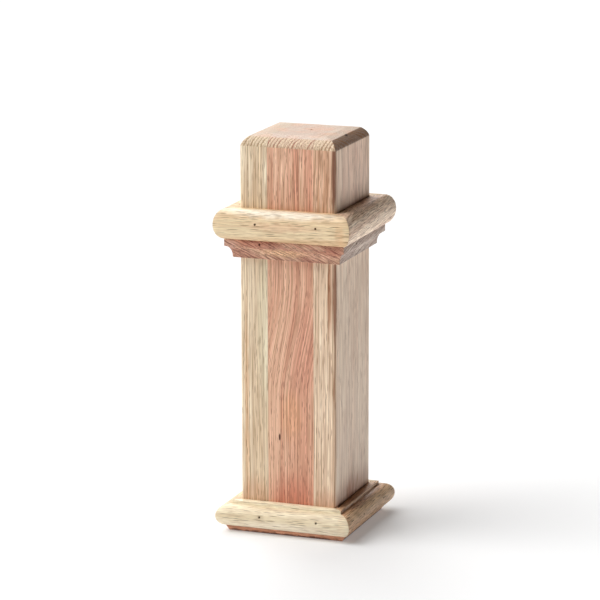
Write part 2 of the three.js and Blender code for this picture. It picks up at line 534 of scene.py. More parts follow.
class WoodMaterial:
    """Builds the material of one piece of wood, as a solid figure that its surfaces cut through."""

    # The fibres of such wood are about 0.1 mm wide; these are as wide as they need to be to show
    fibre_width = 0.85
    fibre_tint = (0.8, 1.05, 1.25)
    fibre_relief = 0.25
    bold_heights = (250.0, 300.0)
    bold_gain = 1.35
    ring_run = 60.0
    sheet_depth = 26.0
    rim_width = 5.0
    rim_length = 16.0
    waver_width = 38.0
    waver_length = 170.0
    waver_reach = 3.0
    side_shift = 71.0
    mottle_width = 46.0
    mottle_length = 160.0
    pore_radius = 0.38
    pore_swing = 0.4
    cheek_width = 2.0
    cheek_length = 90.0
    cheek_contrast = 0.45
    crown_gap = 2.9
    crown_pith = (-350.0, 190.0)
    crown_strength = 1.0
    crown_cover = 0.85
    top_patch = 17.0
    top_cover = 0.9
    top_softness = 0.4
    end_softness = 0.75
    bump_depth = 0.16
    bump_strength = 0.7
    roughness = (0.46, 0.56)
    pore_roughness = 0.15
    refraction = 1.5
    gloss = 0.5

    def __init__(self, finish: WoodFinish, side: Side, cut: Cut) -> None:
        """Takes the board's finish, the side that the piece is on and the way its fibres run."""
        self.finish = finish
        self.side = side
        self.cut = cut
        self.material = bpy.data.materials.new(f"{finish.name}_{side.label}")
        self.material.use_nodes = True
        self.tree = self.material.node_tree
        self.tree.nodes.clear()

    def node(self, kind: str, inputs: Any = None, output: int | str = 0, **settings: Any) -> Socket:
        """Adds a node to this material's tree and returns one of its outputs."""
        return add_node(self.tree, kind, inputs, **settings).outputs[output]

    def clouds(
        self, space: Socket, size: Triple, detail: float = 2.0, rough: float = 0.5, output: str = "Fac"
    ) -> Socket:
        """Draws a cloudy pattern.

        Args:
            space: Coordinates in millimetres.
            size: The size of its clouds in millimetres along each of them.
            detail: How many finer layers it has.
            rough: How strong each finer layer is.
            output: "Fac" for one value or "Color" for three.

        Returns:
            The pattern, from zero to one.
        """
        cells = self.node(VECTOR, [space, cell_scale(size)], operation="MULTIPLY")
        inputs = {"Vector": cells, "Scale": 1.0, "Detail": detail, "Roughness": rough}
        return self.node("ShaderNodeTexNoise", inputs, output)

    def piece_space(self) -> Socket:
        """Returns millimetres on the piece, turned so that its outer face is the front one."""
        place = self.node("ShaderNodeTexCoord", output="Object")
        inputs = {"Vector": place, "Rotation": (0.0, 0.0, -self.side.turn), "Scale": AXES * METRE}
        return self.node("ShaderNodeMapping", inputs)

    def grain_space(self, place: Socket) -> Socket:
        """Returns coordinates whose Z runs along the fibres, with their lean and waver.

        Args:
            place: Millimetres on the piece.

        Returns:
            The coordinates as a vector socket.
        """
        finish = self.finish
        leant = place
        if finish.lean:
            height = self.node(SPLIT, [place], 2)
            stretch = [height, finish.lean.low, finish.lean.high, 0.0, finish.lean.shift]
            sideways = self.node(JOIN, [self.node(STEP, stretch, **SMOOTH)])
            leant = self.node(VECTOR, [place, sideways], operation="ADD")
        tilt_x, tilt_y = (math.radians(angle) for angle in finish.tilt)
        grain = self.node("ShaderNodeMapping", {
            "Vector": leant, "Rotation": (tilt_x, self.cut.value + tilt_y, 0.0),
            "Location": Vector(finish.offset) + AXES * self.side_shift * self.side.value,
        })
        size = (self.waver_width, self.waver_width, self.waver_length)
        cloud = self.clouds(grain, size, 1.0, output="Color")
        centred = self.node(VECTOR, [cloud, AXES * 0.5], operation="SUBTRACT")
        reach = (2 * self.waver_reach, 2 * self.waver_reach, 0.0)
        waver = self.node(VECTOR, [centred, reach], operation="MULTIPLY")
        return self.node(VECTOR, [grain, waver], operation="ADD")

    def rings(self, grain: Socket, pith: tuple[float, float], gap: float) -> tuple[Socket, Socket]:
        """Draws the growth rings round the pith.

        Args:
            grain: Coordinates along the fibres.
            pith: The pith's place across the fibres.
            gap: The width of a ring.

        Returns:
            The strength of the late wood's line, and a random value for each ring.
        """
        from_pith = self.node(VECTOR, [grain, (*pith, 0.0)], operation="SUBTRACT")
        across = self.node(VECTOR, [from_pith, (1.0, 1.0, 0.0)], operation="MULTIPLY")
        radius = self.node(VECTOR, [across], "Value", operation="LENGTH")
        cloud = self.clouds(grain, (gap * 3, gap * 3, self.ring_run))
        uneven = self.node(MATH, [cloud, 2 * self.finish.ring_waver], operation="MULTIPLY")
        even = self.node(MATH, [radius, gap], operation="DIVIDE")
        count = self.node(MATH, [even, uneven], operation="ADD")
        way = self.node(MATH, [count], operation="FRACT")
        rise = self.node(STEP, [way, 0.35, 0.9], **SMOOTH)
        fall = self.node(STEP, [way, 1.0, 0.93], **SMOOTH)
        ring = self.node(MATH, [count], operation="FLOOR")
        chance = self.node("ShaderNodeTexWhiteNoise", {"W": ring}, "Value", noise_dimensions="1D")
        strength = self.node(STEP, [chance, 0.1, 0.9, 0.35, 1.0], **SMOOTH)
        line = self.node(MATH, [rise, fall], operation="MULTIPLY")
        return self.node(MATH, [line, strength], operation="MULTIPLY"), chance

    def pores(self, grain: Socket, ring: Socket) -> Socket:
        """Draws the open pores, long dashes along the fibres.

        Args:
            grain: Coordinates along the fibres.
            ring: The random value of the ring that a place is in.

        Returns:
            The pores' depth, from zero to one.
        """
        finish = self.finish
        size = (finish.pore_width, finish.pore_width, finish.pore_length)
        cells = self.node(VECTOR, [grain, cell_scale(size)], operation="MULTIPLY")
        spots = add_node(self.tree, "ShaderNodeTexVoronoi", {"Vector": cells, "Scale": 1.0})
        radii = (self.pore_radius, 0.5 * self.pore_radius)
        dash = self.node(STEP, [spots.outputs["Distance"], *radii], **SMOOTH)
        chance = add_node(self.tree, SPLIT, [spots.outputs["Color"]])
        crowd = self.node(MATH, [ring, self.pore_swing, finish.pore_share], operation="MULTIPLY_ADD")
        least = self.node(MATH, [1.0 + self.pore_swing / 2, crowd], operation="SUBTRACT")
        there = self.node(MATH, [chance.outputs[0], least], operation="GREATER_THAN")
        depth = self.node(MATH, [chance.outputs[1], 0.6, 0.4], operation="MULTIPLY_ADD")
        shown = self.node(MATH, [dash, there], operation="MULTIPLY")
        return self.node(MATH, [shown, depth], operation="MULTIPLY")

    def sheets(self, grain: Socket) -> Socket:
        """Draws thin dark sheets along the fibres, which show as lines wherever a surface cuts them.

        Args:
            grain: Coordinates along the fibres.

        Returns:
            The sheets' strength, from zero to one.
        """
        finish = self.finish
        size = (finish.sheet_width, self.sheet_depth, finish.sheet_length)
        cloud = self.clouds(grain, size, 2.0, 0.6)
        low = 0.66 - 0.3 * finish.sheet_share
        return self.node(STEP, [cloud, low, low + 0.09], **SMOOTH)

    def body_colour(self, grain: Socket, line: Socket, ring: Socket) -> Socket:
        """Mixes the board's pale and warm wood, its streaks and its ring lines.

        Args:
            grain: Coordinates along the fibres.
            line: The strength of the late wood's line.
            ring: The random value of the ring that a place is in.

        Returns:
            The colour without pores or zones.
        """
        finish = self.finish
        pale, warm, streak, late = (
            linear_colour(code) for code in (finish.pale, finish.warm, finish.streak, finish.line)
        )
        wide = finish.streak_width
        broad = self.clouds(grain, (self.mottle_width, self.mottle_width, self.mottle_length))
        strips = self.clouds(grain, (wide, wide * 5, wide * 45), 3.0, 0.6)
        drift = self.node(MATH, [broad, 0.4, -0.33], operation="MULTIPLY_ADD")
        drift = self.node(MATH, [ring, 0.25, drift], operation="MULTIPLY_ADD")
        blend = self.node(MATH, [strips, drift], operation="ADD")
        warmth = self.node(STEP, [blend, 0.3, 0.7], **SMOOTH)
        colour = self.node(MIX, {0: warmth, 6: pale, 7: warm}, 2, data_type="RGBA")
        narrow = self.clouds(grain, (wide * 0.4, wide * 2, wide * 30), 3.0, 0.65)
        limits = (0.75 - 0.4 * finish.streak_share, 0.9 - 0.3 * finish.streak_share)
        strong = self.node(STEP, [narrow, *limits, 0.0, 0.8], **SMOOTH)
        colour = self.node(MIX, {0: strong, 6: colour, 7: streak}, 2, data_type="RGBA")
        lines = self.node(MATH, [line, finish.ring_strength], operation="MULTIPLY")
        return self.node(MIX, {0: lines, 6: colour, 7: late}, 2, data_type="RGBA")

    def with_zones(
        self, colour: Socket, place: Socket, veins: Socket, zones: tuple[Zone, ...]
    ) -> Socket:
        """Lays patches over the board's colour.

        Args:
            colour: The colour so far.
            place: Millimetres on the piece.
            veins: The strength of the dark sheets, in which each patch is stronger.
            zones: The patches, the last one on top.

        Returns:
            The colour with the patches.
        """
        if not zones:
            return colour
        cloud = self.clouds(place, (self.rim_width, self.rim_width, self.rim_length), output="Color")
        centred = self.node(VECTOR, [cloud, AXES * 0.5], operation="SUBTRACT")
        streaky = self.node(MATH, [veins, 0.4, 0.85], operation="MULTIPLY_ADD")
        for zone in zones:
            uneven = self.node(VECTOR, [centred, AXES * 2 * zone.rim, place], operation="MULTIPLY_ADD")
            offset = self.node(VECTOR, [uneven, zone.centre], operation="SUBTRACT")
            share = self.node(VECTOR, [offset, cell_scale(zone.reach)], operation="MULTIPLY")
            distance = self.node(VECTOR, [share], "Value", operation="LENGTH")
            soft = self.node(STEP, [distance, 1.0, 0.35, 0.0, zone.strength], **SMOOTH)
            broken = self.node(MATH, [soft, streaky], operation="MULTIPLY")
            patch = linear_colour(zone.colour)
            colour = self.node(MIX, {0: broken, 6: colour, 7: patch}, 2, data_type="RGBA")
        return colour

    def cheek_colour(self, colour: Socket, grain: Socket, calm: Socket) -> Socket:
        """Calms the outer faces of the side staves, which are cut along the rings.

        Args:
            colour: The colour so far.
            grain: Coordinates along the fibres.
            calm: How far a place belongs to such a face.

        Returns:
            The colour with the calmer faces.
        """
        finish = self.finish
        size = (finish.streak_width * 5, self.cheek_width, self.cheek_length)
        streaks = self.clouds(grain, size, 3.0, 0.6)
        faint = self.node(STEP, [streaks, 0.4, 0.7, 0.0, self.cheek_contrast], **SMOOTH)
        pair = {0: faint, 6: linear_colour(finish.cheek), 7: linear_colour(finish.streak)}
        cheek = self.node(MIX, pair, 2, data_type="RGBA")
        return self.node(MIX, {0: calm, 6: colour, 7: cheek}, 2, data_type="RGBA")

    def end_colour(
        self, colour: Socket, place: Socket, rightward: Socket, end: Socket, flat: Socket
    ) -> Socket:
        """Colours the end grain, on the rounding of the crown and on the flat top, and paints shade on
        the rounding where it faces right.

        Args:
            colour: The colour so far.
            place: Millimetres on the piece.
            rightward: The X of the surface's direction.
            end: How far a place belongs to the end grain.
            flat: How far a place belongs to the flat top.

        Returns:
            The colour with the end grain.
        """
        finish = self.finish
        # Painted shade: the rounding darkens where it faces right, away from the light
        turned = self.node(STEP, [rightward, 0.25, 0.5], **SMOOTH)
        pair = {0: turned, 6: linear_colour(finish.crown), 7: linear_colour(finish.crown_side)}
        crown = self.node(MIX, pair, 2, data_type="RGBA")
        cover = self.node(MATH, [end, self.crown_cover], operation="MULTIPLY")
        colour = self.node(MIX, {0: cover, 6: colour, 7: crown}, 2, data_type="RGBA")
        patches = self.clouds(place, AXES * self.top_patch)
        warmth = self.node(STEP, [patches, 0.4, 0.7], **SMOOTH)
        pair = {0: warmth, 6: linear_colour(finish.cut_end), 7: linear_colour(finish.top_warm)}
        top = self.node(MIX, pair, 2, data_type="RGBA")
        cover = self.node(MATH, [flat, self.top_cover], operation="MULTIPLY")
        return self.node(MIX, {0: cover, 6: colour, 7: top}, 2, data_type="RGBA")

    def end_lines(
        self, sheets: Socket, grain: Socket, calm: Socket, end: Socket, flat: Socket
    ) -> Socket:
        """Draws the rows of cut rings on the end grain, in place of the sheets of the faces.

        Args:
            sheets: The strength of the sheets so far.
            grain: Coordinates along the fibres.
            calm: How far a place belongs to the outer face of a side stave.
            end: How far a place belongs to the end grain.
            flat: How far a place belongs to the flat top.

        Returns:
            The strength of all the lines.
        """
        hidden = self.node(MATH, [flat, self.top_softness], operation="MULTIPLY")
        softer = self.node(MATH, [1.0, hidden], operation="SUBTRACT")
        cut_rings, _ = self.rings(grain, self.crown_pith, self.crown_gap)
        rows = self.node(MATH, [cut_rings, end], operation="MULTIPLY")
        rows = self.node(MATH, [rows, self.crown_strength], operation="MULTIPLY")
        lively = self.node(MATH, [1.0, calm], operation="SUBTRACT")
        even = self.node(MATH, [sheets, lively], operation="MULTIPLY")
        lines = self.node(MATH, [even, rows], operation="ADD")
        return self.node(MATH, [lines, softer], operation="MULTIPLY")

    def shaded(self, colour: Socket, place: Socket, fibres: Socket) -> Socket:
        """Lightens and darkens the colour fibre by fibre, more boldly high up on the block.

        Args:
            colour: The colour so far.
            place: Millimetres on the piece.
            fibres: The pattern of the fibres.

        Returns:
            The colour with the fibres.
        """
        contrast = self.finish.fibre_contrast
        swing = self.node(STEP, [fibres, 0.3, 0.7, -contrast, contrast], **SMOOTH)
        if self.cut is Cut.UPRIGHT:
            height = self.node(SPLIT, [place], 2)
            gain = self.node(STEP, [height, *self.bold_heights, 1.0, self.bold_gain], **SMOOTH)
            swing = self.node(MATH, [swing, gain], operation="MULTIPLY")
        shade = self.node(VECTOR, [swing, self.fibre_tint, AXES], operation="MULTIPLY_ADD")
        return self.node(VECTOR, [colour, shade], operation="MULTIPLY")

    def finished(self, base: Socket, fibres: Socket, pores: Socket) -> bpy.types.Material:
        """Sets the colour, the relief and the dull gloss on the shader.

        Args:
            base: The finished colour.
            fibres: The pattern of the fibres.
            pores: The pores' depth.

        Returns:
            The material.
        """
        sunk = self.node(MATH, [pores, -1.0], operation="MULTIPLY")
        relief = self.node(MATH, [fibres, self.fibre_relief, sunk], operation="MULTIPLY_ADD")
        depth = {"Height": relief, "Distance": self.bump_depth * MM, "Strength": self.bump_strength}
        bump = self.node("ShaderNodeBump", depth)
        dull = self.node(STEP, [fibres, 0.3, 0.7, *self.roughness], **SMOOTH)
        rough = self.node(MATH, [pores, self.pore_roughness, dull], operation="MULTIPLY_ADD")
        shader = self.node("ShaderNodeBsdfPrincipled", {
            "Base Color": base, "Roughness": rough, "Normal": bump, "IOR": self.refraction,
            "Specular IOR Level": self.gloss,
        })
        add_node(self.tree, "ShaderNodeOutputMaterial", {"Surface": shader})
        return self.material

    def build(self) -> bpy.types.Material:
        """Joins the parts of the figure into a shader.

        Returns:
            The finished material.
        """
        finish = self.finish
        place = self.piece_space()
        grain = self.grain_space(place)
        line, ring = self.rings(grain, finish.pith, finish.ring_gap)
        pores = self.pores(grain, ring)
        veins = self.sheets(grain)
        lines = self.node(MATH, [veins, finish.sheet_strength], operation="MULTIPLY")
        colour = self.body_colour(grain, line, ring)
        if self.cut is Cut.UPRIGHT:
            normal = add_node(self.tree, SPLIT, [self.node("ShaderNodeTexCoord", output="Normal")])
            rightward, _, upward = normal.outputs
            steep = self.node(MATH, [upward], operation="ABSOLUTE")
            end = self.node(STEP, [steep, 0.08, 0.3], **SMOOTH)
            flat = self.node(STEP, [steep, 0.85, 0.95], **SMOOTH)
            outward = self.node(MATH, [rightward], operation="ABSOLUTE")
            calm = self.node(STEP, [outward, 0.6, 0.95, 0.0, finish.cheek_calm], **SMOOTH)
            colour = self.cheek_colour(colour, grain, calm)
            colour = self.with_zones(colour, place, veins, finish.zones)
            colour = self.end_colour(colour, place, rightward, end, flat)
            lines = self.end_lines(lines, grain, calm, end, flat)
            shallow = self.node(MATH, [end, -self.end_softness, 1.0], operation="MULTIPLY_ADD")
            pores = self.node(MATH, [pores, shallow], operation="MULTIPLY")
        else:
            colour = self.with_zones(colour, place, veins, finish.zones)
        late = linear_colour(finish.line)
        colour = self.node(MIX, {0: lines, 6: colour, 7: late}, 2, data_type="RGBA")
        fibres = self.clouds(grain, (self.fibre_width, self.fibre_width, finish.fibre_length))
        colour = self.shaded(colour, place, fibres)
        dark = self.node(MATH, [pores, finish.pore_strength], operation="MULTIPLY")
        hollow = linear_colour(finish.pore)
        base = self.node(MIX, {0: dark, 6: colour, 7: hollow}, 2, data_type="RGBA")
        base = self.with_zones(base, place, veins, finish.marks)
        return self.finished(base, fibres, pores)


def new_tree(name: str, inputs: dict[str, str], output: str) -> tuple[bpy.types.GeometryNodeTree, Any]:
    """Starts a Geometry Nodes tree.

    Args:
        name: The tree's name.
        inputs: The kind of each named input, such as "Float".
        output: The name of its geometry output.

    Returns:
        The tree, and the sockets that its inputs come in by.
    """
    tree = bpy.data.node_groups.new(name, "GeometryNodeTree")
    for label, kind in inputs.items():
        tree.interface.new_socket(label, in_out="INPUT", socket_type=f"NodeSocket{kind}")
    tree.interface.new_socket(output, in_out="OUTPUT", socket_type="NodeSocketGeometry")
    return tree, add_node(tree, "NodeGroupInput").outputs


def length_tree() -> bpy.types.GeometryNodeTree:
    """Builds the tree that draws a section along a face and cuts both its ends to mitres.

    The section is a closed loop of edges, with X outward from the post's middle and Y down.
    Each place along the length stands as far from the middle as its share of the outward
    distance, so that the ends meet their neighbours on the post's diagonals.

    Returns:
        The tree, with the inputs Section, Steps, Mitre gap and Material.
    """
    inputs = {"Section": "Geometry", "Steps": "Int", "Mitre gap": "Float", "Material": "Material"}
    tree, given = new_tree("mitred_length", inputs, "Length")
    section = add_node(tree, "GeometryNodeMeshToCurve", {"Mesh": given["Section"]}).outputs[0]
    ends = {"Start": (-1, 0, 0), "End": (1, 0, 0)}
    line = add_node(tree, "GeometryNodeCurvePrimitiveLine", ends).outputs[0]
    steps = {"Curve": line, "Count": given["Steps"]}
    rail = add_node(tree, "GeometryNodeResampleCurve", steps).outputs[0]
    sweep = {"Curve": rail, "Profile Curve": section, "Fill Caps": True}
    drawn = add_node(tree, "GeometryNodeCurveToMesh", sweep).outputs[0]
    place = add_node(tree, "GeometryNodeInputPosition").outputs[0]
    share, inward, height = add_node(tree, SPLIT, [place]).outputs
    outward = add_node(tree, MATH, [inward, -1.0], operation="MULTIPLY").outputs[0]
    reach = add_node(tree, MATH, [outward, given["Mitre gap"]], operation="SUBTRACT").outputs[0]
    along = add_node(tree, MATH, [share, reach], operation="MULTIPLY").outputs[0]
    moved = add_node(tree, JOIN, [along, inward, height]).outputs[0]
    shift = {"Geometry": drawn, "Position": moved}
    mitred = add_node(tree, "GeometryNodeSetPosition", shift).outputs[0]
    whole = add_node(tree, "GeometryNodeRealizeInstances", {"Geometry": mitred}).outputs[0]
    dress = {"Geometry": whole, "Material": given["Material"]}
    dressed = add_node(tree, "GeometryNodeSetMaterial", dress).outputs[0]
    add_node(tree, "NodeGroupOutput", {"Length": dressed})
    return tree


def pit_tree() -> bpy.types.GeometryNodeTree:
    """Builds the tree that sinks a row of rounded pits into a piece, for brad holes, flecks and nicks.

    Returns:
        The tree, with the inputs Piece, Count, First place, Spacing, Reach and Material.
    """
    inputs = {
        "Piece": "Geometry", "Count": "Int", "First place": "Vector", "Spacing": "Vector",
        "Reach": "Vector", "Material": "Material",
    }
    tree, given = new_tree("sunk_pits", inputs, "Pitted")
    line = {"Count": given["Count"], "Start Location": given["First place"], "Offset": given["Spacing"]}
    row = add_node(tree, "GeometryNodeMeshLine", line).outputs[0]
    sphere = {"Segments": 20, "Rings": 12, "Radius": 1.0}
    ball = add_node(tree, "GeometryNodeMeshUVSphere", sphere).outputs[0]
    spread = {"Points": row, "Instance": ball, "Scale": given["Reach"]}
    cutters = add_node(tree, "GeometryNodeInstanceOnPoints", spread).outputs[0]
    real = add_node(tree, "GeometryNodeRealizeInstances", {"Geometry": cutters}).outputs[0]
    pair = {"Mesh 1": given["Piece"], "Mesh 2": real}
    cut = add_node(tree, "GeometryNodeMeshBoolean", pair, operation="DIFFERENCE", solver="EXACT")
    whole = add_node(tree, "GeometryNodeRealizeInstances", {"Geometry": cut.outputs[0]}).outputs[0]
    dress = {"Geometry": whole, "Material": given["Material"]}
    dressed = add_node(tree, "GeometryNodeSetMaterial", dress).outputs[0]
    add_node(tree, "NodeGroupOutput", {"Pitted": dressed})
    return tree


class Workshop:
    """The trees that the pieces are made with, and the steps that they share."""

    arris = 0.22
    arris_steps = 2
    ease_above = math.radians(38.0)
    smooth_below = math.radians(26.0)
    weld = 0.0001

    def __init__(self) -> None:
        """Builds both trees."""
        self.length = length_tree()
        self.pits = pit_tree()

    def piece(self, name: str, mesh: bpy.types.Mesh) -> bpy.types.Object:
        """Puts a mesh in the scene as an object at the origin."""
        obj = bpy.data.objects.new(name, mesh)
        bpy.context.scene.collection.objects.link(obj)
        return obj

    def run(
        self, obj: bpy.types.Object, tree: bpy.types.GeometryNodeTree, values: dict[str, Any]
    ) -> None:
        """Adds a tree to an object with its named inputs set.

        Args:
            obj: The object that takes the modifier.
            tree: One of this workshop's trees.
            values: A value for each named input.
        """
        modifier = obj.modifiers.new(tree.name, "NODES")
        modifier.node_group = tree
        for item in tree.interface.items_tree:
            if item.in_out == "INPUT" and item.name in values:
                modifier[item.identifier] = values[item.name]

    def ease(self, obj: bpy.types.Object) -> None:
        """Breaks an object's sharp edges, as sanding does."""
        bevel = obj.modifiers.new("eased_edges", "BEVEL")
        bevel.width = self.arris * MM
        bevel.segments = self.arris_steps
        bevel.limit_method = "ANGLE"
        bevel.angle_limit = self.ease_above

    def bake(self, obj: bpy.types.Object, turn: float = 0.0) -> bpy.types.Object:
        """Makes an object's modifiers plain mesh, turned about the post's axis.

        Args:
            obj: The object, whose modifiers are then removed.
            turn: The angle in radians.

        Returns:
            The same object with its final mesh.
        """
        graph = bpy.context.evaluated_depsgraph_get()
        mesh = bpy.data.meshes.new_from_object(obj.evaluated_get(graph))
        obj.modifiers.clear()
        old = obj.data
        obj.data = mesh
        bpy.data.meshes.remove(old)
        mesh.name = obj.name
        mesh.transform(Matrix.Rotation(turn, 4, "Z"))
        shell = bmesh.new()
        shell.from_mesh(mesh)
        bmesh.ops.remove_doubles(shell, verts=shell.verts, dist=self.weld * MM)
        bmesh.ops.recalc_face_normals(shell, faces=shell.faces)
        shell.to_mesh(mesh)
        shell.free()
        mesh.polygons.foreach_set("use_smooth", [True] * len(mesh.polygons))
        mesh.set_sharp_from_angle(angle=self.smooth_below)
        return obj

    def finish(self, obj: bpy.types.Object, node: str, slot: str) -> None:
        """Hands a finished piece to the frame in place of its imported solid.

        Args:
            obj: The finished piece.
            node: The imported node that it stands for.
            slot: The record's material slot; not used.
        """
        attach(obj, "root")
        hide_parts(node)
        sizes = [round(d * METRE, 1) for d in obj.dimensions]
        log.info("%s: %s mm, %d faces", obj.name, sizes, len(obj.data.polygons))


@dataclass
class Block:
    """The block of three glued staves, with its top edges rounded over."""

    arris: float = 2.0
    crown_arris: float = 0.9
    crown_run: float = 10.8
    crown_rise: float = 10.2
    crown_power: float = 1.5
    crown_lift: float = 0.35
    crown_share: float = 0.66
    crown_steps: int = 30
    top_shares: Triple = (0.03, 0.97, 1.0)
    top_inset: float = 15.0
    corner_steps: int = 8
    side_steps: int = 10
    support: float = 0.5
    glue_groove: float = 0.1
    top_hole_reach: Triple = (1.4, 1.4, 9.0)
    fleck_reach: Triple = (0.65, 0.9, 2.9)
    nick_reach: Triple = (1.0, 1.5, 1.0)
    staves: tuple[tuple[str, str, WoodFinish], ...] = (
        ("stave_left", "tan_stave", TAN_BOARD),
        ("stave_middle", "pink_stave", PINK_BOARD),
        ("stave_right", "tan_stave", SAND_BOARD),
    )

    def __post_init__(self) -> None:
        """Takes the block's own size from its packed staves."""
        low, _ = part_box("stave_left")
        _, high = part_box("stave_right")
        self.half = high.x * METRE
        self.height = high.z * METRE
        self.joints = [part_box("stave_middle")[i].x * METRE for i in (0, 1)]
        log.info("block: %.2f mm wide, %.2f mm high", (high.x - low.x) * METRE, self.height)

    def crown(self, share: float) -> tuple[float, float]:
        """The crown's inset from the face and drop from the top.

        Args:
            share: The way along the whole rounding, from 0 at the face to 1 at the top.

        Returns:
            Inset and drop.
        """
        angle = share * math.pi / 2
        inset = self.crown_run * (1 - math.cos(angle) ** (2 / self.crown_power))
        drop = self.crown_rise * (1 - math.sin(angle) ** (2 / self.crown_power))
        return inset, drop - self.crown_lift

    def ring(self, inset: float, height: float, radius: float) -> list[Vector]:
        """The block's outline at one height, anticlockwise, as points in metres.

        Args:
            inset: How far the outline lies inside the faces.
            height: Its height.
            radius: The radius of its corners.

        Returns:
            The points.
        """
        middle = self.half - inset - radius
        run = [self.support / (2 * middle)]
        run += [i / self.side_steps for i in range(1, self.side_steps)]
        run.append(1 - run[0])
        points = []
        for side in Side:
            turn = Matrix.Rotation(side.turn, 3, "Z")
            for i in range(self.corner_steps + 1):
                angle = math.pi * (1 + i / self.corner_steps / 2)
                across = -middle + radius * math.cos(angle)
                outward = -middle + radius * math.sin(angle)
                points.append(turn @ Vector((across, outward, height)) * MM)
            for share in run:
                flat = Vector((-middle + 2 * middle * share, -middle - radius, height))
                points.append(turn @ flat * MM)
        return points

    def rings(self) -> list[list[Vector]]:
        """The block's outlines from the floor, over the rounding and its crease, to the top's rim."""
        foot = self.height - self.crown_rise + self.crown_lift
        heights = (0.0, foot / 3, foot * 2 / 3, foot - self.support)
        outlines = [self.ring(0.0, z, self.arris) for z in heights]
        for i in range(self.crown_steps + 1):
            inset, drop = self.crown(self.crown_share * i / self.crown_steps)
            radius = self.arris + (self.crown_arris - self.arris) * min(1.0, inset / self.arris)
            outlines.append(self.ring(inset, self.height - drop, radius))
        for share in self.top_shares:
            reach = inset + (self.top_inset - inset) * share
            outlines.append(self.ring(reach, self.height - drop * (1 - share), self.crown_arris))
        outlines.append(self.ring(self.top_inset + self.support, self.height, self.crown_arris))
        return outlines

    def shell(self) -> bmesh.types.BMesh:
        """Joins the outlines into one closed shell.

        Returns:
            The whole block.
        """
        shell = bmesh.new()
        rows = [[shell.verts.new(p) for p in outline] for outline in self.rings()]
        for lower, upper in zip(rows, rows[1:]):
            for i in range(len(lower)):
                shell.faces.new((lower[i - 1], lower[i], upper[i], upper[i - 1]))
        shell.faces.new(rows[0][::-1])
        shell.faces.new(rows[-1])
        return shell

    def stave(self, name: str, low: float | None, high: float | None) -> bpy.types.Mesh:
        """Saws one stave out of the block and eases its glued edges.

        Args:
            name: The stave's name.
            low: The joint on its left, if it has one.
            high: The joint on its right, if it has one.

        Returns:
            The stave's mesh.
        """
        shell = self.shell()
        for joint, outward in ((low, -1.0), (high, 1.0)):
            if joint is None:
                continue
            everything = shell.verts[:] + shell.edges[:] + shell.faces[:]
            sawn = bmesh.ops.bisect_plane(
                shell,
                geom=everything,
                plane_co=(joint * MM, 0, 0),
                plane_no=(outward, 0, 0),
                clear_outer=True,
            )
            rim = [e for e in sawn["geom_cut"] if isinstance(e, bmesh.types.BMEdge)]
            bmesh.ops.edgeloop_fill(shell, edges=rim)
            bmesh.ops.bevel(shell, geom=rim, offset=self.glue_groove * MM, segments=1, affect="EDGES")
        mesh = bpy.data.meshes.new(name)
        bmesh.ops.recalc_face_normals(shell, faces=shell.faces)
        shell.to_mesh(mesh)
        shell.free()
        return mesh

    def build(self, shop: Workshop) -> None:
        """Makes the staves, with the hole in the top, the bark fleck and the nick in the crown."""
        left, right = self.joints
        spans = ((None, left), (left, right), (right, None))
        pits = {
            "stave_middle": (
                ((*TOP_HOLE, self.height), self.top_hole_reach),
                ((FLECK[0], -self.half, FLECK[1]), self.fleck_reach),
            ),
            "stave_right": ((NICK, self.nick_reach),),
        }
        for (node, slot, finish), (low, high) in zip(self.staves, spans):
            obj = shop.piece(f"{finish.name}_stave", self.stave(node, low, high))
            material = WoodMaterial(finish, Side.FRONT, Cut.UPRIGHT).build()
            obj.data.materials.append(material)
            for place, reach in pits.get(node, ()):
                shop.run(obj, shop.pits, {
                    "Count": 1, "First place": Vector(place) * MM, "Reach": Vector(reach) * MM,
                    "Material": material,
                })
            shop.bake(obj)
            shop.finish(obj, node, slot)


